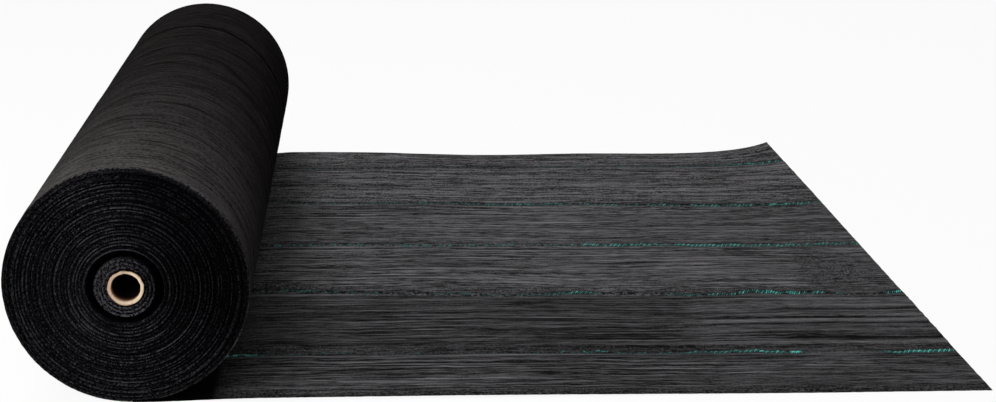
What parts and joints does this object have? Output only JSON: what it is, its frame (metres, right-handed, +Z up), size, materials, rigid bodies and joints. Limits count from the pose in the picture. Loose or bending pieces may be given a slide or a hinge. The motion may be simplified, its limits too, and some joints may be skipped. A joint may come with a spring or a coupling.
{
  "type": "roll of weed control fabric",
  "caption": "Roll of black woven weed control fabric on a cardboard core, its last metre laid flat on the ground with green marker yarns; it rolls back up along the ground.",
  "frame": {"origin": "on the ground under the middle of the core, where the last lap touches down", "axes": "+X the way the fabric is laid out, +Y along the core towards its far end, +Z up"},
  "size_m": [1.063, 1.004, 0.2599],
  "materials": {
    "black_web": "black woven polypropylene tape, matte with a faint sheen along the yarns",
    "core_board": "raw kraft board, fibrous cut ends",
    "tape_film": "thin packing tape",
    "green_yarn": "green polypropylene marker yarn"
  },
  "bodies": {
    "laid_fabric": {"laid_sheet": "black_web", "marker_thread_1": "green_yarn", "marker_thread_2": "green_yarn", "marker_thread_3": "green_yarn", "marker_thread_4": "green_yarn", "marker_thread_5": "green_yarn"},
    "outer_wrap": {"outer_wrap": "black_web"},
    "roll": {"core_tube": "core_board", "core_tape": "tape_film", "fabric_winding": "black_web"}
  },
  "joints": [
    {"name": "roll_travel", "type": "slide", "parent": "laid_fabric", "child": "outer_wrap", "axis": [1, 0, 0], "range_m": [0, 0.8], "deforming": ["laid_sheet", "marker_thread_1", "marker_thread_2", "marker_thread_3", "marker_thread_4", "marker_thread_5"]},
    {"name": "roll_turn", "type": "hinge", "parent": "outer_wrap", "child": "roll", "pos_m": [0, 0, 0.1299], "axis": [0, 1, 0], "range_deg": [0, 360]}
  ],
  "couplings": [
    {"joint": "roll_turn", "follows": "roll_travel", "rad_per_m": 7.6923}
  ]
}
